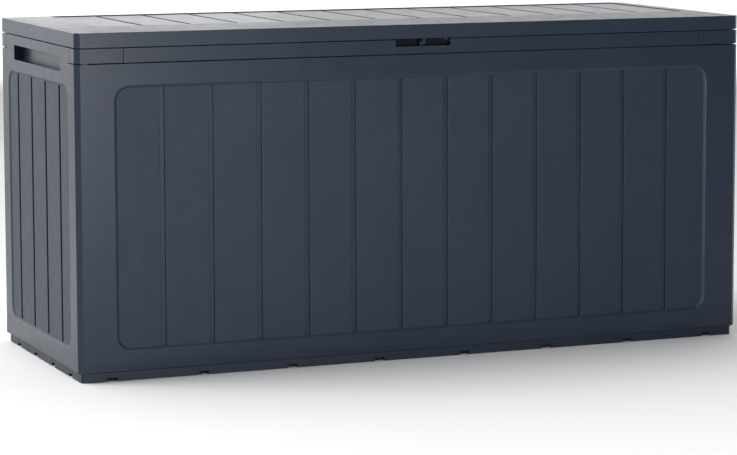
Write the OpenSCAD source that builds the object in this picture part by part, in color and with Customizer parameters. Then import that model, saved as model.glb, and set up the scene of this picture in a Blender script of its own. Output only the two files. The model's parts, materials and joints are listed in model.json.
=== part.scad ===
// Deck storage box: a flat-packed moulded box with a hinged lid.
// X runs along the width, the front faces -Y and Z is up.
// The origin is the centre of the footprint, on the ground.

/* [Overall] */
// Width over the side walls
box_w = 1160; // [1120:1:1200]
// Depth from the front face to the rear face
box_d = 435; // [425:1:470]
// Height from the ground to the ridge of the lid
box_h = 550; // [520:1:600]
// Size of the flat on each vertical corner, along one face
corner_flat = 7.75; // [6:0.25:10]
// Thickness of the moulded skins
skin = 2.6; // [2.4:0.1:3]
// Width of the shadow gaps under the lid and under the header
seam = 1.6; // [1.2:0.1:2]
// Width of the upright joints between header pieces
joint_gap = 0.8; // [0.4:0.1:1.2]

/* [Lid] */
// Height of the lid from its lower edge to its ridge
lid_h = 27.7; // [26:0.1:32]
// Rise of the sloping border from the skirt to the ridge
border_rise = 5; // [3:0.5:7]
// Distance from the lid's side edge to the ridge
border_side = 60; // [50:1:70]
// Distance from the lid's front edge to the ridge
border_front = 75.5; // [65:0.5:85]
// Depth of the deck below the ridge
deck_sink = 1.5; // [1:0.1:2]
// Thickness of the deck
deck_t = 4; // [3.8:0.1:5]
// Width of the grooves in the deck
deck_groove_w = 7; // [4:0.5:8]
// Depth of the grooves in the deck
deck_groove_sink = 2.4; // [1:0.1:2.4]
// Distance between the deck's grooves
deck_pitch = 80; // [76:0.5:82]

/* [Walls] */
// Height of the header band at the top of the walls
header_h = 22.7; // [21:0.1:25]
// Depth of the header pieces, from face to inner skin
header_depth = 22; // [21:0.5:24]
// Length of a corner cap along the front
cap_front = 77; // [70:1:90]
// Length of a corner cap along the side
cap_side = 35; // [32:1:40]
// Lower edge of the fields of boards
field_low = 47.5; // [45:0.5:60]
// Gap between the top of the fields and the header
field_drop = 35; // [30:1:45]
// Corner radius of the fields
field_r = 25; // [15:1:30]
// Width of the slope from the frame down to the boards
field_slope = 4.3; // [2:0.1:6]
// Distance from the wall's edge to the field on the long walls
long_margin = 61.5; // [55:0.5:70]
// Distance from the wall's edge to the field on the side walls
side_margin = 43.5; // [40:0.5:50]
// Depth of the boards below the frame
board_sink = 2; // [1.5:0.1:2.2]
// Depth of the grooves below the boards
groove_sink = 3.2; // [1:0.1:3.4]
// Width of the grooves between boards
groove_w = 8; // [5:0.5:10]
// Distance between the grooves of the long walls
long_pitch = 80.2; // [76:0.1:82]
// Distance between the grooves of the side walls
side_pitch = 80; // [76:0.5:82]

/* [Handles] */
// Width of a handle pocket
handle_w = 271; // [200:1:280]
// Height of a handle pocket
handle_h = 24; // [22:1:28]
// Depth of a handle pocket
handle_depth = 16; // [14:0.5:18]
// Distance from the top of the pocket to the top of the wall
handle_drop = 15.7; // [14:0.1:18]

/* [Lock recess] */
// Width of the finger recess in the front rail
recess_w = 96; // [80:1:120]
// Height of the finger recess
recess_h = 10.7; // [10:0.1:12]
// Radius of the padlock hole
eye_r = 3.2; // [2.8:0.1:3.4]
// Thickness of each padlock tab
tab_t = 4; // [3:0.5:6]

/* [Hinges] */
// Distance from the middle hinge to the outer hinges
hinge_spacing = 380; // [300:1:420]
// Distance of the hinge axis from the rear face
axis_inset = 8; // [8:0.1:8.4]
// Distance of the hinge axis below the lid's lower edge
axis_drop = 12.3; // [12:0.1:13]
// Radius of the hinge pins
pin_r = 4; // [3:0.1:4.2]
// Outer radius of the hinge knuckles
knuckle_r = 7.5; // [7:0.1:7.5]
// Radial clearance of the pins in the lid's knuckles
pin_clearance = 0.06; // [0.03:0.01:0.1]

/* [Base] */
// Height of the base tray's plinth
plinth_h = 15; // [13:0.5:18]
// Distance of the plinth behind the walls' faces
plinth_inset = 5.5; // [4:0.5:6]
// Width of the drain notches in the plinth
notch_w = 16; // [10:1:20]
// Height of the drain notches
notch_h = 6; // [4:0.5:8]
// Height of the band that leans in at the foot of the walls
foot_h = 20; // [15:1:24]
// How far the walls lean in at their foot
foot_lean = 1.2; // [0.5:0.1:1.5]

/* [Hidden] */
$fn = 64;

wall_colour = [0.20, 0.23, 0.26];
lid_colour = [0.23, 0.26, 0.29];
base_colour = [0.15, 0.17, 0.19];
pin_colour = [0.10, 0.11, 0.12];

half_w = box_w / 2;
half_d = box_d / 2;
slack = 1;              // overshoot of cutters past the faces they cut
rest_gap = 0.3;         // between the closed lid and what it lies over
rib_t = 2.5;            // thickness of stiffening ribs

lid_low = box_h - lid_h;
header_top = lid_low - seam;
header_low = header_top - header_h;
wall_top = header_low - seam;
field_top = header_low - field_drop;

long_grooves = 12;
side_grooves = 4;
long_ribs = long_grooves + 1;
slope_over = field_slope * slack / board_sink;  // the slope, carried past the face
field_lap = 3;          // how far the board plate laps behind the frame
strip_t = 3.2;          // thickness of the strips behind the grooves
strip_lap = 3;          // how far a strip laps behind the boards on each side
strip_w = groove_w + 2 * strip_lap;

flange_reach = 14.3;    // depth of the flanges that stand on the tray
flange_t = 3;
flange_end = 10;        // the foot flange ends this far from the end ribs
upstand_inset = 14.5;   // outer face of the tray's upstand, which runs down to the ground
upstand_h = 15;
end_clear = 0.3;        // between the side walls' ends and the long walls
locator_inset = 7.7;    // of the long walls' end ribs, from the side faces
locator_x = half_w - locator_inset;
tongue_y = 6;
tongue_h = 9.6;
tongue_end = 8;         // the tongue ends this far from the corner caps
tongue_half = half_w - cap_front - tongue_end;

peg = 10;               // side of the square pegs under the corner caps
peg_gap = 0.9;          // between a peg and the skins beside it
peg_clear = 0.3;        // around a peg in its hole in the shelf
peg_reach = 26;         // length of a peg below its cap
peg_x = locator_x - rib_t - peg_gap - peg;
peg_y = half_d - skin - peg_gap - peg;
peg_low = header_low - peg_reach;

hinge_xs = [-hinge_spacing, 0, hinge_spacing];
axis_y = half_d - axis_inset;
axis_z = lid_low - axis_drop;
rail_knuckle = 30;
lid_knuckle = 21.8;
knuckle_gap = 0.6;
hinge_half = rail_knuckle / 2 + knuckle_gap + lid_knuckle;
pocket_half = hinge_half + knuckle_gap;
pocket_depth = axis_inset + knuckle_r + rest_gap;
pocket_floor = axis_z - knuckle_r - 0.7;
arm_t = 8;
rear_bevel = 3.5;       // lets the lid's rear skirt swing past the header
pin_bevel = 1;

recess_floor = header_top - recess_h;
recess_back = header_depth - skin;
eye_y = 7.5;            // behind the front face
eye_wall = 1.7;
eye_z = recess_floor + eye_r + eye_wall + rest_gap;
drip_y = 6;             // behind the lid's outer face
drip_t = 2.5;
drip_rear_stop = 27;    // the drip rib ends this far from the rear face
grip_h = 6;             // room for fingertips inside the skirt, over the recess
lid_rim = 3;            // width of the flat ridge around the deck
lid_rib_lift = 8;       // lower edge of the lid's ribs above its skirt
groove_end = 9;         // the deck's grooves end this far from its edge

front_notches = [-525, -375, -225, -75, 75, 225, 375, 525];
side_notches = [-150, -50, 50, 150];
tray_rib_pitch = 82;
cross_ribs = [-1, 0, 1];
cross_rib_pitch = 105;

// Evenly spaced places, centred on zero
function spread(count, pitch) = [for (i = [0 : count - 1]) (i - (count - 1) / 2) * pitch];

// Size of the corner flat at an inset from the outer faces
function flat_at(inset) = max(0.5, corner_flat - inset * (2 - sqrt(2)));

// Block between two opposite corners
module block(low, high) {
    translate(low) cube(high - low);
}

// Plan of the whole box at an inset, with flats on its corners
module plan(inset) {
    x = half_w - inset;
    y = half_d - inset;
    c = flat_at(inset);
    polygon([
        [x - c, y], [c - x, y], [-x, y - c], [-x, c - y],
        [c - x, -y], [x - c, -y], [x, c - y], [x, y - c]
    ]);
}

// Band that follows the plan, between two insets and two heights
module band(outer, inner, low, high) {
    translate([0, 0, low]) linear_extrude(high - low) difference() {
        plan(outer);
        plan(inner);
    }
}

// Profile in Y and Z, drawn out along X
module along_x(from, to) {
    translate([from, 0, 0]) rotate([90, 0, 90]) linear_extrude(to - from) children();
}

// Profile in X and Z, drawn out along Y
module along_y(from, to) {
    translate([0, to, 0]) rotate([90, 0, 0]) linear_extrude(to - from) children();
}

// Side of a field's cutter across the frame: widest at the face, down to the boards' level
function slope_side(half) = [
    [half + slope_over, -slack], [half - field_slope, board_sink],
    [half - field_slope, skin + slack], [field_slope - half, skin + slack],
    [field_slope - half, board_sink], [-half - slope_over, -slack]
];

// Cutter for a field of boards in a face at y = 0, with round corners and sloping sides
module field_cut(half) {
    middle = (field_low + field_top) / 2;
    rise = (field_top - field_low) / 2;
    translate([0, 0, field_low + field_r]) linear_extrude(2 * (rise - field_r))
        polygon(slope_side(half));
    along_x(field_r - half, half - field_r) translate([0, middle])
        polygon([for (p = slope_side(rise)) [p[1], p[0]]]);
    for (x = [-1, 1], z = [-1, 1]) {
        translate([x * (half - field_r), -slack, middle + z * (rise - field_r)]) rotate([-90, 0, 0]) {
            cylinder(r1 = field_r + slope_over, r2 = field_r - field_slope, h = slack + board_sink);
            cylinder(r = field_r - field_slope, h = 2 * slack + skin);
        }
    }
}

// Boards and the strips behind their grooves, set behind a face at y = 0
module boards(half, count, pitch) {
    block([-half - field_lap, board_sink, field_low - field_lap],
          [half + field_lap, board_sink + skin, field_top + field_lap]);
    for (x = spread(count, pitch)) {
        block([x - strip_w / 2, board_sink, field_low - field_lap],
              [x + strip_w / 2, board_sink + skin + strip_t, field_top + field_lap]);
    }
}

// Grooves between the boards
module board_grooves(count, pitch) {
    for (x = spread(count, pitch)) {
        block([x - groove_w / 2, -slack, field_low + field_slope],
              [x + groove_w / 2, board_sink + groove_sink, field_top - field_slope]);
    }
}

// Wedge that makes the foot of a wall lean in, for a face at y = 0
module foot_cut(half) {
    along_x(-half - slack, half + slack) polygon([
        [-slack, plinth_h - slack], [foot_lean, plinth_h - slack], [foot_lean, plinth_h],
        [0, plinth_h + foot_h], [-slack, plinth_h + foot_h]
    ]);
}

// Turns a piece drawn with its face at y = 0 on to one side of the box
module on_front() {
    translate([0, -half_d, 0]) children();
}
module on_rear() {
    rotate([0, 0, 180]) on_front() children();
}
module on_left() {
    rotate([0, 0, -90]) translate([0, -half_w, 0]) children();
}
module on_right() {
    rotate([0, 0, 90]) translate([0, -half_w, 0]) children();
}

// Long wall: skin with corner flats, boards, foot flange, top shelf and a tongue with gaps
module long_wall(gaps) {
    field_half = half_w - long_margin;
    difference() {
        union() {
            difference() {
                translate([0, half_d, 0]) intersection() {
                    band(0, skin, plinth_h, wall_top);
                    block([-half_w, -half_d, 0], [half_w, -half_d + corner_flat, wall_top]);
                }
                field_cut(field_half);
            }
            boards(field_half, long_grooves, long_pitch);
            block([-locator_x + flange_end, foot_lean, plinth_h],
                  [locator_x - flange_end, flange_reach, plinth_h + flange_t]);
            block([-locator_x, 1, wall_top - flange_t], [locator_x, header_depth, wall_top]);
            for (s = [-1, 1]) {
                block([s * (locator_x - rib_t / 2) - rib_t / 2, 1, plinth_h + flange_t],
                      [s * (locator_x - rib_t / 2) + rib_t / 2, header_depth, wall_top]);
            }
            block([-tongue_half, tongue_y, wall_top - slack],
                  [tongue_half, tongue_y + skin, wall_top + tongue_h]);
        }
        board_grooves(long_grooves, long_pitch);
        foot_cut(half_w);
        for (s = [-1, 1]) {
            block([s * (peg_x + peg / 2) - peg / 2 - peg_clear, half_d - peg_y - peg - peg_clear, peg_low],
                  [s * (peg_x + peg / 2) + peg / 2 + peg_clear, half_d - peg_y + peg_clear, header_low]);
        }
        for (x = gaps) {
            block([x - pocket_half - 2 * skin, tongue_y - slack, wall_top],
                  [x + pocket_half + 2 * skin, tongue_y + skin + slack, header_top]);
        }
    }
}

module front_wall() {
    color(wall_colour) on_front() long_wall([]);
}

module rear_wall() {
    color(wall_colour) on_rear() long_wall(hinge_xs);
}

// Side wall: skin, boards, handle pocket, foot flange, end flanges and header
module side_wall() {
    wall_half = half_d - corner_flat - end_clear;
    head_half = half_d - cap_side - joint_gap;
    field_half = half_d - side_margin;
    handle_top = header_top - handle_drop;
    difference() {
        union() {
            difference() {
                union() {
                    block([-wall_half, 0, plinth_h], [wall_half, skin, wall_top]);
                    block([-head_half, 0, wall_top - slack], [head_half, skin, header_top]);
                }
                field_cut(field_half);
            }
            boards(field_half, side_grooves, side_pitch);
            block([-half_d + flange_reach + slack, foot_lean, plinth_h],
                  [half_d - flange_reach - slack, flange_reach, plinth_h + flange_t]);
            for (s = [-1, 1]) {
                block([s * (wall_half - rib_t / 2) - rib_t / 2, 1, plinth_h + flange_t],
                      [s * (wall_half - rib_t / 2) + rib_t / 2, half_w - locator_x, wall_top]);
                block([s * (head_half - rib_t / 2) - rib_t / 2, 1, wall_top],
                      [s * (head_half - rib_t / 2) + rib_t / 2, header_depth, header_top]);
            }
            block([-head_half, 0, header_top - skin], [head_half, header_depth, header_top]);
            block([-handle_w / 2 - skin, 0, handle_top - handle_h - skin],
                  [handle_w / 2 + skin, handle_depth + skin, handle_top + skin]);
        }
        board_grooves(side_grooves, side_pitch);
        foot_cut(half_d);
        block([-handle_w / 2, -slack, handle_top - handle_h],
              [handle_w / 2, handle_depth, handle_top]);
    }
}

module left_wall() {
    color(wall_colour) on_left() side_wall();
}

module right_wall() {
    color(wall_colour) on_right() side_wall();
}

// Header rail between two corner caps: an inverted channel
module rail() {
    half = half_w - cap_front - joint_gap / 2;
    difference() {
        block([-half, 0, header_low], [half, header_depth, header_top]);
        block([-half + skin, skin, header_low - slack],
              [half - skin, header_depth - skin, header_top - skin]);
    }
    block([-half, header_depth - skin, wall_top], [half, header_depth, header_low + slack]);
}

// Front rail with its finger recess and padlock tab
module front_rail() {
    color(wall_colour) on_front() difference() {
        union() {
            rail();
            block([-recess_w / 2 - skin, 0, recess_floor - skin],
                  [recess_w / 2 + skin, header_depth, header_top]);
        }
        difference() {
            block([-recess_w / 2, -slack, recess_floor],
                  [recess_w / 2, recess_back, header_top + slack]);
            block([-joint_gap / 2 - tab_t, eye_y - eye_r - eye_wall, recess_floor - slack],
                  [-joint_gap / 2, eye_y + eye_r + eye_wall, eye_z]);
            translate([-joint_gap / 2 - tab_t, eye_y, eye_z]) rotate([0, 90, 0])
                cylinder(r = eye_r + eye_wall, h = tab_t);
        }
        translate([-recess_w / 2, eye_y, eye_z]) rotate([0, 90, 0])
            cylinder(r = eye_r, h = recess_w);
    }
}

// Cuts the rear top edge of the header so that the lid's skirt swings clear
module rear_edge_cut() {
    along_x(-half_w - slack, half_w + slack) polygon([
        [half_d - rear_bevel, header_top], [half_d - rear_bevel, header_top + slack],
        [half_d + slack, header_top + slack], [half_d + slack, header_top - rear_bevel],
        [half_d, header_top - rear_bevel]
    ]);
}

// Rear rail with three hinge pockets and their fixed knuckles
module rear_rail() {
    color(wall_colour) difference() {
        union() {
            difference() {
                union() {
                    on_rear() rail();
                    for (x = hinge_xs) {
                        block([x - pocket_half - skin, half_d - header_depth, pocket_floor - skin],
                              [x + pocket_half + skin, half_d, header_top]);
                    }
                }
                for (x = hinge_xs) {
                    block([x - pocket_half, half_d - pocket_depth, pocket_floor],
                          [x + pocket_half, half_d + slack, header_top + slack]);
                }
                rear_edge_cut();
            }
            for (x = hinge_xs) {
                translate([x - rail_knuckle / 2, axis_y, axis_z]) rotate([0, 90, 0])
                    cylinder(r = knuckle_r, h = rail_knuckle);
                block([x - rail_knuckle / 2, half_d - pocket_depth - skin / 2, pocket_floor - skin / 2],
                      [x + rail_knuckle / 2, axis_y, axis_z]);
            }
        }
        for (x = hinge_xs) {
            translate([x - hinge_half, axis_y, axis_z]) rotate([0, 90, 0])
                cylinder(r = pin_r, h = 2 * hinge_half);
        }
    }
}

// Corner cap for the front left corner: an L-shaped channel on a square peg
module corner_cap() {
    x_end = -half_w + cap_front - joint_gap / 2;
    y_end = -half_d + cap_side;
    difference() {
        intersection() {
            band(0, header_depth, header_low, header_top);
            block([-half_w, -half_d, header_low], [x_end, y_end, header_top]);
        }
        intersection() {
            band(skin, header_depth - skin, header_low - slack, header_top - skin);
            block([-half_w, -half_d, header_low - slack], [x_end - skin, y_end - skin, header_top]);
        }
    }
    block([-locator_x, -half_d + header_depth - skin, wall_top],
          [x_end, -half_d + header_depth, header_low + slack]);
    block([-peg_x - peg, -peg_y - peg, peg_low], [-peg_x, -peg_y, header_top - skin / 2]);
}

module corner_cap_front_left() {
    color(wall_colour) corner_cap();
}

module corner_cap_front_right() {
    color(wall_colour) mirror([1, 0, 0]) corner_cap();
}

module corner_cap_rear_left() {
    color(wall_colour) difference() {
        mirror([0, 1, 0]) corner_cap();
        rear_edge_cut();
    }
}

module corner_cap_rear_right() {
    color(wall_colour) difference() {
        rotate([0, 0, 180]) corner_cap();
        rear_edge_cut();
    }
}

// Solid under the lid's sloping border and flat ridge, lowered and inset
module lid_form(inset, drop) {
    skirt_top = box_h - border_rise;
    intersection() {
        translate([0, 0, lid_low - drop]) linear_extrude(lid_h + slack) plan(inset);
        along_y(-half_d, half_d) polygon([
            [-half_w, lid_low - drop], [half_w, lid_low - drop], [half_w, skirt_top - drop],
            [half_w - border_side, box_h - drop], [border_side - half_w, box_h - drop],
            [-half_w, skirt_top - drop]
        ]);
        along_x(-half_w, half_w) polygon([
            [-half_d, lid_low - drop], [half_d, lid_low - drop], [half_d, skirt_top - drop],
            [half_d - border_front, box_h - drop], [border_front - half_d, box_h - drop],
            [-half_d, skirt_top - drop]
        ]);
    }
}

// Lid: shell, sunk deck with grooves, ribs, drip rib, padlock tab and knuckles
module lid() {
    rib_low = lid_low + lid_rib_lift;
    rib_high = box_h - border_rise - skin / 2;
    deck_z = box_h - deck_sink;
    deck_x = half_w - border_side - lid_rim;
    deck_y = half_d - border_front - lid_rim;
    under = deck_z - deck_t;
    color(lid_colour) difference() {
        union() {
            difference() {
                lid_form(0, 0);
                intersection() {
                    lid_form(skin, skin);
                    block([-half_w, -half_d, lid_low - 2 * skin], [half_w, half_d, under]);
                }
            }
            for (x = spread(long_ribs, deck_pitch)) {
                block([x - rib_t / 2, -half_d + skin / 2, rib_low],
                      [x + rib_t / 2, half_d - skin / 2, rib_high]);
            }
            for (i = cross_ribs) {
                block([-half_w + skin / 2, i * cross_rib_pitch - rib_t / 2, rib_low],
                      [half_w - skin / 2, i * cross_rib_pitch + rib_t / 2, rib_high]);
            }
            drip_rib();
            for (x = hinge_xs, s = [-1, 1]) {
                lid_knuckle(x + s * (rail_knuckle + lid_knuckle + 2 * knuckle_gap) / 2);
            }
            padlock_tab();
        }
        block([-deck_x, -deck_y, deck_z], [deck_x, deck_y, box_h + slack]);
        for (x = spread(long_grooves, deck_pitch)) {
            block([x - deck_groove_w / 2, -deck_y + groove_end, deck_z - deck_groove_sink],
                  [x + deck_groove_w / 2, deck_y - groove_end, box_h]);
        }
        for (x = hinge_xs) {
            translate([x - hinge_half, axis_y, axis_z]) rotate([0, 90, 0])
                cylinder(r = pin_r + pin_clearance, h = 2 * hinge_half);
        }
        translate([-recess_w / 2, eye_y - half_d, eye_z]) rotate([0, 90, 0])
            cylinder(r = eye_r, h = recess_w);
    }
}

// Rib inside the skirt that closes the shadow gap and stands on the header
module drip_rib() {
    low = header_top + rest_gap;
    high = box_h - border_rise - skin / 2;
    difference() {
        band(drip_y, drip_y + drip_t, low, high);
        block([-half_w, half_d - drip_rear_stop, low - slack], [half_w, half_d, high + slack]);
        block([-recess_w / 2 - skin, -half_d, low - slack], [recess_w / 2 + skin, 0, lid_low + grip_h]);
    }
}

// One of the lid's hinge knuckles, centred on x, with the arm that carries it
module lid_knuckle(x) {
    translate([x - lid_knuckle / 2, axis_y, axis_z]) rotate([0, 90, 0])
        cylinder(r = knuckle_r, h = lid_knuckle);
    block([x - lid_knuckle / 2, axis_y - arm_t / 2, axis_z],
          [x + lid_knuckle / 2, axis_y + arm_t / 2, lid_low + slack]);
    block([x - lid_knuckle / 2, axis_y - arm_t / 2, lid_low],
          [x + lid_knuckle / 2, half_d - skin / 2, box_h - border_rise - skin / 2]);
}

// Tab that hangs from the lid beside the rail's tab
module padlock_tab() {
    reach = eye_r + eye_wall;
    translate([joint_gap / 2, eye_y - half_d, eye_z]) rotate([0, 90, 0])
        cylinder(r = reach, h = tab_t);
    block([joint_gap / 2, eye_y - reach - half_d, eye_z],
          [joint_gap / 2 + tab_t, eye_y + reach - half_d, box_h - border_rise - skin / 2]);
}

// Base tray: plinth rim with notches, floor, upstand that backs the rim, and ribs beneath
module base_tray() {
    floor_low = plinth_h - skin;
    in_x = half_w - plinth_inset - skin / 2;
    in_y = half_d - plinth_inset - skin / 2;
    color(base_colour) difference() {
        union() {
            band(plinth_inset, plinth_inset + skin, 0, plinth_h);
            translate([0, 0, floor_low]) linear_extrude(skin) plan(plinth_inset);
            band(upstand_inset, upstand_inset + skin, 0, plinth_h + upstand_h);
            for (x = spread(long_ribs, tray_rib_pitch)) {
                block([x - rib_t / 2, -in_y, 0], [x + rib_t / 2, in_y, floor_low + skin / 2]);
            }
            for (i = cross_ribs) {
                block([-in_x, i * cross_rib_pitch - rib_t / 2, 0],
                      [in_x, i * cross_rib_pitch + rib_t / 2, floor_low + skin / 2]);
            }
        }
        for (x = front_notches, s = [-1, 1]) {
            block([x - notch_w / 2, s * half_d - 2 * plinth_inset - skin, -slack],
                  [x + notch_w / 2, s * half_d + 2 * plinth_inset + skin, notch_h]);
        }
        for (y = side_notches, s = [-1, 1]) {
            block([s * half_w - 2 * plinth_inset - skin, y - notch_w / 2, -slack],
                  [s * half_w + 2 * plinth_inset + skin, y + notch_w / 2, notch_h]);
        }
    }
}

// Hinge pin centred on x, with bevelled ends
module hinge_pin(x) {
    length = 2 * hinge_half;
    color(pin_colour) translate([x - length / 2, axis_y, axis_z]) rotate([0, 90, 0]) {
        cylinder(r1 = pin_r - pin_bevel, r2 = pin_r, h = pin_bevel);
        translate([0, 0, pin_bevel]) cylinder(r = pin_r, h = length - 2 * pin_bevel);
        translate([0, 0, length - pin_bevel])
            cylinder(r1 = pin_r, r2 = pin_r - pin_bevel, h = pin_bevel);
    }
}

module hinge_pin_left() {
    hinge_pin(hinge_xs[0]);
}

module hinge_pin_centre() {
    hinge_pin(hinge_xs[1]);
}

module hinge_pin_right() {
    hinge_pin(hinge_xs[2]);
}

base_tray();
front_wall();
rear_wall();
left_wall();
right_wall();
front_rail();
rear_rail();
corner_cap_front_left();
corner_cap_front_right();
corner_cap_rear_left();
corner_cap_rear_right();
lid();
hinge_pin_left();
hinge_pin_centre();
hinge_pin_right();
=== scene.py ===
import json
import math

import bmesh
import bpy
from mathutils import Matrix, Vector


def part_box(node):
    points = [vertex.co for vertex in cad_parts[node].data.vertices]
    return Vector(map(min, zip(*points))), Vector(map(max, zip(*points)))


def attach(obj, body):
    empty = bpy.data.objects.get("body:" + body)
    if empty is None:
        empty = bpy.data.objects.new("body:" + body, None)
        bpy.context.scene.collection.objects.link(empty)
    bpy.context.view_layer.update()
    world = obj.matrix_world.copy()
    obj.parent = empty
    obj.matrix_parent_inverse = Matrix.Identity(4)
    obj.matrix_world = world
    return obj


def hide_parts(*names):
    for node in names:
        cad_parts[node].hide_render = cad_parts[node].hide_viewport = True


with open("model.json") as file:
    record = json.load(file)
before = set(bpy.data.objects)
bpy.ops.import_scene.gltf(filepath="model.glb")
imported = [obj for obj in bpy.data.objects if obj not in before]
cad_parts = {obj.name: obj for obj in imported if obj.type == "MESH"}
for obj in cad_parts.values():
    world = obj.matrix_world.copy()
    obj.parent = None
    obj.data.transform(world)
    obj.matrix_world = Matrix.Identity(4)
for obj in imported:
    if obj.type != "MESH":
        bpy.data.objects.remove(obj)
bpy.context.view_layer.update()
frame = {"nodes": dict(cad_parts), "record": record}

MM = 0.001

# Plastics: linear base colours
WALL_COLOUR = (0.0115, 0.0195, 0.0360)
LID_COLOUR = (0.0125, 0.0210, 0.0380)
BASE_COLOUR = (0.0085, 0.0145, 0.0265)
# The pins' colour, also used as the near-black painted shade in deep gaps
PIN_AND_PAINTED_SHADE_COLOUR = (0.010, 0.012, 0.014)

# Gloss of the plastics, its faint blue, and how far smudges move their roughness to either side
SPECULAR = 0.35
SHEEN_TINT = (0.90, 0.94, 1.0, 1)
SMUDGE = 0.035

# Edges are this much lighter: partly rubbed wear, partly a painted highlight
EDGE_WEAR_AND_HIGHLIGHT_GAIN = 1.25
EDGE_WEAR_AND_HIGHLIGHT_LIFT = 0.001

# The CAD mesh: distance within which points are one, and angle within which faces are one
SAME_POINT = 1e-5
SAME_FACE = math.radians(1)

# Moulded edges: the widest bevel, and the bevels of crisp, soft and board edges
WIDEST_BEVEL = 2.0 * MM
CRISP = 0.4 * MM
SOFT = 0.7 * MM
BOARD_EDGE = 0.9 * MM

# The foot of the walls, where their outer faces end in a wide round-over
FOOT_EDGE = 2.0 * MM
FOOT_Z = 15 * MM

# The boards and the slopes around them lie between these depths behind a wall's outer face, turn from it
# by no more than this cosine, and lie above the wall's foot
BOARD_DEPTH = (0.5 * MM, 2.3 * MM)
BOARD_TURN = 0.85
BOARD_LOW = 45 * MM

# Cosines that tell a face's way: one that looks in, an upright one, and one that belongs to a wall's foot
INWARD = 0.5
UPRIGHT = 0.9
FOOT_TURN = 0.6

# Gaps that light hardly reaches, whose faces get a near-black painted shade: half the finger recess's
# width, how far behind the rail's face its back lies at least, and how far behind the plinth the faces lie
# that show through its notches
RECESS_HALF = 50 * MM
RECESS_DEPTH = 5 * MM
NOTCH_DEPTH = (1.5 * MM, 12 * MM)

# Edges of the pins, whose ends are chamfered in the CAD already
PIN_EDGE = 0.1 * MM

# Edges flatter than the first angle stay plain, and those flatter than the second are soft
PLAIN_ANGLE = math.radians(14)
SOFT_ANGLE = math.radians(60)

# Camera: place in metres, turn to the right and tilt down in degrees, and a frame shifted off its axis
CAMERA_AT = (-1.821, -4.458, 0.838)
CAMERA_YAW = 23.387
CAMERA_PITCH = 6.564
SENSOR_WIDTH = 36
LENS = 140.2877
SHIFT_X = -0.084396
SHIFT_Y = -0.076391

# Softboxes: place and aim in metres, width and height, and radiance
SOFTBOXES = {
    "front": ((-0.4, -3.2, 0.6), (-0.4, 0, 0.3), 0.9, 1.0, 19.0),
    "left_high": ((-2.3, 0.4, 1.9), (-0.5, 0.1, 0.2), 1.4, 1.4, 6.2),
    "left_low": ((-2.6, 3.2, 0.7), (-0.5, 0.2, 0.3), 2.4, 1.4, 0.6),
    "back": ((0.2, 3.2, 1.2), (-0.3, 0, 0.5), 1.6, 1.2, 0.6),
    "overhead": ((0.0, 0.6, 5.0), (0.0, 0.6, 0), 5.0, 5.0, 1.0),
    "over_far": ((2.5, 6.5, 3.5), (4.5, 12.0, 0), 12.0, 6.0, 2.2),
}

FLOOR_SIZE = 60
FLOOR_COLOUR = (0.92, 0.92, 0.92, 1)

# The way each wall's outer face looks
OUTWARD = {
    "front_wall": Vector((0, -1, 0)),
    "rear_wall": Vector((0, 1, 0)),
    "left_wall": Vector((-1, 0, 0)),
    "right_wall": Vector((1, 0, 0)),
}

record = frame["record"]
body_of = {n: b for b, ns in record["behaviour"]["bodies"].items() for n in ns}
slot_of = {p["node"]: p["material_slot"] for p in record["subparts"]}
box_of = {n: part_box(n) for n in frame["nodes"]}


# ---------------------------------------------------------------- materials

def node_tree(name):
    material = bpy.data.materials.new(name)
    material.use_nodes = True
    tree = material.node_tree
    shader = tree.nodes["Principled BSDF"]
    return material, tree, shader


def add(tree, kind, **inputs):
    node = tree.nodes.new(kind)
    for key, value in inputs.items():
        node.inputs[key.replace("_", " ")].default_value = value
    return node


def mixed(tree, factor, low, high):
    """A colour between low and high by a factor socket."""
    ramp = tree.nodes.new("ShaderNodeMix")
    ramp.data_type = "RGBA"
    ramp.inputs[6].default_value = (*low, 1)
    ramp.inputs[7].default_value = (*high, 1)
    tree.links.new(factor, ramp.inputs[0])
    return ramp.outputs[2]


def ranged(tree, value, low, high):
    """Stretches a 0-1 noise value to low-high."""
    node = add(tree, "ShaderNodeMapRange")
    node.inputs["From Min"].default_value = 0.3
    node.inputs["From Max"].default_value = 0.7
    node.inputs["To Min"].default_value = low
    node.inputs["To Max"].default_value = high
    tree.links.new(value, node.inputs["Value"])
    return node.outputs["Result"]


def grain_height(tree, place, kind, size):
    """Height of the mould's grain: rounded pebbles for a stipple, a fine haze for a satin."""
    haze = add(tree, "ShaderNodeTexNoise", Scale=1 / size, Detail=3.0, Roughness=0.6)
    tree.links.new(place, haze.inputs["Vector"])
    if kind == "satin":
        return haze.outputs["Fac"]
    pebble = add(tree, "ShaderNodeTexVoronoi", Scale=1 / size)
    tree.links.new(place, pebble.inputs["Vector"])
    both = tree.nodes.new("ShaderNodeMath")
    both.operation = "SUBTRACT"
    tree.links.new(haze.outputs["Fac"], both.inputs[0])
    tree.links.new(pebble.outputs["Distance"], both.inputs[1])
    return both.outputs[0]


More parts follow.
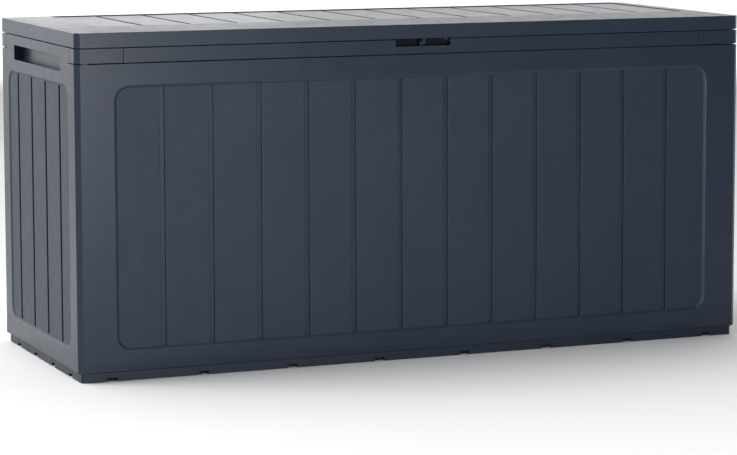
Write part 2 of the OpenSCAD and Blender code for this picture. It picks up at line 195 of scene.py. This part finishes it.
def plastic(name, colour, roughness, kind, grain, size, tone=0.08, specular=SPECULAR):
    """Moulded plastic: drifting tone, smudged gloss, and a grain of the given depth and size in metres."""
    material, tree, shader = node_tree(name)
    place = tree.nodes.new("ShaderNodeTexCoord").outputs["Object"]
    drift = add(tree, "ShaderNodeTexNoise", Scale=6.0, Detail=4.0, Roughness=0.55)
    smudge = add(tree, "ShaderNodeTexNoise", Scale=38.0, Detail=4.0, Roughness=0.6)
    for node in (drift, smudge):
        tree.links.new(place, node.inputs["Vector"])
    low = [c * (1 - tone) for c in colour]
    high = [c * (1 + tone) for c in colour]
    tone_way = ranged(tree, drift.outputs["Fac"], 0, 1)
    tree.links.new(mixed(tree, tone_way, low, high), shader.inputs["Base Color"])
    gloss = ranged(tree, smudge.outputs["Fac"], roughness - SMUDGE, roughness + SMUDGE)
    tree.links.new(gloss, shader.inputs["Roughness"])
    bump = add(tree, "ShaderNodeBump", Strength=1.0, Distance=grain)
    tree.links.new(grain_height(tree, place, kind, size), bump.inputs["Height"])
    tree.links.new(bump.outputs["Normal"], shader.inputs["Normal"])
    shader.inputs["Specular IOR Level"].default_value = specular
    shader.inputs["Specular Tint"].default_value = SHEEN_TINT
    return material


def worn_and_highlit(colour):
    """The same colour made lighter for edges: partly rubbed wear, partly a painted highlight."""
    return tuple(c * EDGE_WEAR_AND_HIGHLIGHT_GAIN + EDGE_WEAR_AND_HIGHLIGHT_LIFT for c in colour)


MATERIALS = {
    "wall": plastic("wall_satin", WALL_COLOUR, 0.32, "satin", 0.03 * MM, 1.6 * MM),
    "board": plastic("wall_stipple", WALL_COLOUR, 0.52, "stipple", 0.22 * MM, 2.0 * MM),
    "wall_inside": plastic("wall_inside", WALL_COLOUR, 0.55, "stipple", 0.05 * MM, 2.4 * MM),
    # Edge finishes, lighter than their faces: partly rubbed wear, partly a painted highlight
    "wall_edge": plastic("wall_edge", worn_and_highlit(WALL_COLOUR), 0.32, "satin", 0.04 * MM, 1.2 * MM, 0.25),
    "lid": plastic("lid_satin", LID_COLOUR, 0.34, "satin", 0.03 * MM, 1.6 * MM),
    "lid_inside": plastic("lid_inside", LID_COLOUR, 0.55, "stipple", 0.05 * MM, 2.4 * MM),
    "lid_edge": plastic("lid_edge", worn_and_highlit(LID_COLOUR), 0.32, "satin", 0.04 * MM, 1.2 * MM, 0.25),
    "base": plastic("base_satin", BASE_COLOUR, 0.50, "stipple", 0.05 * MM, 2.0 * MM),
    "base_edge": plastic("base_edge", worn_and_highlit(BASE_COLOUR), 0.42, "satin", 0.05 * MM, 1.2 * MM, 0.25),
    # A near-black, barely glossy painted shade for faces deep in gaps, where the plastic itself only lies
    # in shadow
    "painted_shade_hollow": plastic("painted_shade_hollow", PIN_AND_PAINTED_SHADE_COLOUR, 0.60, "stipple", 0.05 * MM, 2.0 * MM, specular=0.05),
    "pin": plastic("pin_smooth", PIN_AND_PAINTED_SHADE_COLOUR, 0.33, "satin", 0.01 * MM, 1.0 * MM),
    "pin_edge": plastic("pin_edge", worn_and_highlit(PIN_AND_PAINTED_SHADE_COLOUR), 0.32, "satin", 0.02 * MM, 1.0 * MM, 0.25),
}


# ---------------------------------------------------------------- pieces

def clean_mesh(node):
    """A bmesh of a CAD node with its flat faces whole again."""
    bm = bmesh.new()
    bm.from_mesh(frame["nodes"][node].data)
    bmesh.ops.remove_doubles(bm, verts=bm.verts, dist=SAME_POINT)
    bmesh.ops.dissolve_limit(bm, angle_limit=SAME_FACE, verts=bm.verts, edges=bm.edges)
    bm.normal_update()
    return bm


def bevel_weights(bm, width_of):
    layer = bm.edges.layers.float.new("bevel_weight_edge")
    for edge in bm.edges:
        if len(edge.link_faces) != 2:
            continue
        if edge.calc_face_angle(0) < PLAIN_ANGLE:
            continue
        width = width_of(edge)
        edge[layer] = width / WIDEST_BEVEL
        edge.smooth = width > 0


def depth_behind(node, point):
    """How far a point lies behind the outer face of a wall."""
    low, high = box_of[node]
    outward = OUTWARD[node]
    return max(outward.dot(Vector(low)), outward.dot(Vector(high))) - outward.dot(point)


def is_board(node, face):
    if node not in OUTWARD or face.normal.dot(OUTWARD[node]) < BOARD_TURN:
        return False
    middle = face.calc_center_median()
    return middle.z > BOARD_LOW and BOARD_DEPTH[0] < depth_behind(node, middle) < BOARD_DEPTH[1]


def looks_inside(node, face):
    """True on faces that only show when the lid is open."""
    if node in OUTWARD:
        return face.normal.dot(OUTWARD[node]) < -INWARD
    return node == "lid" and face.normal.z < -INWARD


def in_painted_shade_gap(node, face):
    """True on the rail's forward faces behind the finger recess, and on outward ones behind the plinth:
    the faces that get a near-black painted shade.
    """
    middle = face.calc_center_median()
    low, high = box_of[node]
    if node == "front_rail":
        deep = middle.y > low[1] + RECESS_DEPTH
        return face.normal.y < -INWARD and deep and abs(middle.x) < RECESS_HALF
    if node != "base_tray" or max(abs(face.normal.x), abs(face.normal.y)) < UPRIGHT:
        return False
    outward = Vector(face.normal)
    edge_of_box = sum(max(outward[i] * low[i], outward[i] * high[i]) for i in range(2))
    behind = edge_of_box - outward.dot(Vector((middle.x, middle.y, 0)))
    return NOTCH_DEPTH[0] < behind < NOTCH_DEPTH[1]


def finish_of(node, face):
    """Which of a node's finishes a face takes: outside, boards, inside or gap; on walls and base the gap
    finish is a painted shade.
    """
    if is_board(node, face):
        return 1
    if looks_inside(node, face):
        return 2
    return 3 if in_painted_shade_gap(node, face) else 0


def is_foot(node, edge):
    """True on the lowest edges of a wall's outer face and of its corner flats."""
    if node not in OUTWARD or any(abs(v.co.z - FOOT_Z) > MM / 10 for v in edge.verts):
        return False
    return max(face.normal.dot(OUTWARD[node]) for face in edge.link_faces) > FOOT_TURN


def edge_width(node, edge):
    """Bevel of an edge: none in a corner that closes, wider along boards and the foot, crisp elsewhere."""
    if not edge.is_convex:
        return 0
    if slot_of[node] == "pin_plastic":
        return PIN_EDGE
    if any(is_board(node, face) for face in edge.link_faces):
        return BOARD_EDGE
    if is_foot(node, edge):
        return FOOT_EDGE
    if edge.calc_face_angle(0) < SOFT_ANGLE:
        return SOFT
    return CRISP


def piece(node, finishes):
    """A CAD node again with rounded edges; finishes are outside, boards, inside, gap (a painted shade on
    walls and base) and edges (lighter: wear and a painted highlight).
    """
    bm = clean_mesh(node)
    for face in bm.faces:
        face.smooth = True
        face.material_index = finish_of(node, face)
    bevel_weights(bm, lambda edge: edge_width(node, edge))
    mesh = bpy.data.meshes.new(node + "_skin")
    bm.to_mesh(mesh)
    bm.free()
    obj = bpy.data.objects.new(node + "_skin", mesh)
    bpy.context.scene.collection.objects.link(obj)
    for name in finishes:
        mesh.materials.append(MATERIALS[name])
    bevel = obj.modifiers.new("moulded edges", "BEVEL")
    bevel.width = WIDEST_BEVEL
    bevel.segments = 3
    bevel.limit_method = "WEIGHT"
    bevel.use_clamp_overlap = False
    bevel.miter_outer = "MITER_ARC"
    # The bevels take the last finish, the lighter edge one: wear and a painted highlight
    bevel.material = len(finishes) - 1
    flatten = obj.modifiers.new("flat faces", "WEIGHTED_NORMAL")
    flatten.keep_sharp = True
    flatten.weight = 100
    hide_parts(node)
    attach(obj, body_of[node])
    return obj


# Finishes of each slot, in order: outside, boards, inside, gap and edges; the edge finish is lighter,
# partly wear and partly a painted highlight
FINISHES = {
    "wall_plastic": ("wall", "board", "wall_inside", "painted_shade_hollow", "wall_edge"),
    "lid_plastic": ("lid", "lid", "lid_inside", "lid_inside", "lid_edge"),
    "base_plastic": ("base", "base", "base", "painted_shade_hollow", "base_edge"),
    "pin_plastic": ("pin", "pin", "pin", "pin", "pin_edge"),
}
for node in frame["nodes"]:
    piece(node, FINISHES[slot_of[node]])


# ---------------------------------------------------------------- studio

def make_camera():
    data = bpy.data.cameras.new("camera")
    camera = bpy.data.objects.new("camera", data)
    bpy.context.scene.collection.objects.link(camera)
    camera.location = CAMERA_AT
    yaw, pitch = math.radians(CAMERA_YAW), math.radians(CAMERA_PITCH)
    ahead = Vector((math.sin(yaw) * math.cos(pitch), math.cos(yaw) * math.cos(pitch), -math.sin(pitch)))
    camera.rotation_mode = "QUATERNION"
    camera.rotation_quaternion = ahead.to_track_quat("-Z", "Y")
    data.sensor_width = SENSOR_WIDTH
    data.lens = LENS
    data.shift_x = SHIFT_X
    data.shift_y = SHIFT_Y
    bpy.context.scene.camera = camera


def softbox(name, at, aim, width, height, radiance):
    """A rectangular white light of even radiance, hidden from the camera."""
    data = bpy.data.lights.new(name, "AREA")
    data.shape = "RECTANGLE"
    data.size, data.size_y = width, height
    data.energy = radiance * math.pi * width * height
    light = bpy.data.objects.new(name, data)
    light.location = at
    light.rotation_mode = "QUATERNION"
    light.rotation_quaternion = (Vector(aim) - Vector(at)).to_track_quat("-Z", "Y")
    light.visible_camera = False
    bpy.context.scene.collection.objects.link(light)


def world_lobe(tree, axis, start, end, gain, least=0):
    """A value that grows smoothly from least by gain, while a part of the direction goes start to end."""
    ramp = tree.nodes.new("ShaderNodeMapRange")
    ramp.interpolation_type = "SMOOTHSTEP"
    ramp.inputs["From Min"].default_value = start
    ramp.inputs["From Max"].default_value = end
    ramp.inputs["To Min"].default_value = least
    ramp.inputs["To Max"].default_value = least + gain
    tree.links.new(axis, ramp.inputs["Value"])
    return ramp.outputs["Result"]


def make_world():
    """A white surround, brightest low behind the box, fainter on its left and dark in front."""
    world = bpy.data.worlds.new("studio")
    world.use_nodes = True
    bpy.context.scene.world = world
    tree = world.node_tree
    background = tree.nodes["Background"]
    background.inputs["Color"].default_value = (1, 1, 1, 1)
    way = tree.nodes.new("ShaderNodeSeparateXYZ")
    tree.links.new(tree.nodes.new("ShaderNodeTexCoord").outputs["Generated"], way.inputs[0])
    both = tree.nodes.new("ShaderNodeMath")
    tree.links.new(world_lobe(tree, way.outputs["Y"], -0.35, 0.6, 1.7), both.inputs[0])
    tree.links.new(world_lobe(tree, way.outputs["X"], 0.2, -0.9, 0.68), both.inputs[1])
    faded = tree.nodes.new("ShaderNodeMath")
    faded.operation = "MULTIPLY"
    tree.links.new(both.outputs[0], faded.inputs[0])
    tree.links.new(world_lobe(tree, way.outputs["Z"], 0.5, 0.08, 0.5, 0.5), faded.inputs[1])
    tree.links.new(faded.outputs[0], background.inputs["Strength"])


def make_floor():
    bpy.ops.mesh.primitive_plane_add(size=FLOOR_SIZE)
    floor = bpy.context.object
    floor.name = "floor"
    material, tree, shader = node_tree("floor_paint")
    shader.inputs["Base Color"].default_value = FLOOR_COLOUR
    shader.inputs["Roughness"].default_value = 0.9
    shader.inputs["Specular IOR Level"].default_value = 0.1
    floor.data.materials.append(material)


make_camera()
make_world()
make_floor()
for name, settings in SOFTBOXES.items():
    softbox(name, *settings)
bpy.context.scene.view_settings.view_transform = "Standard"
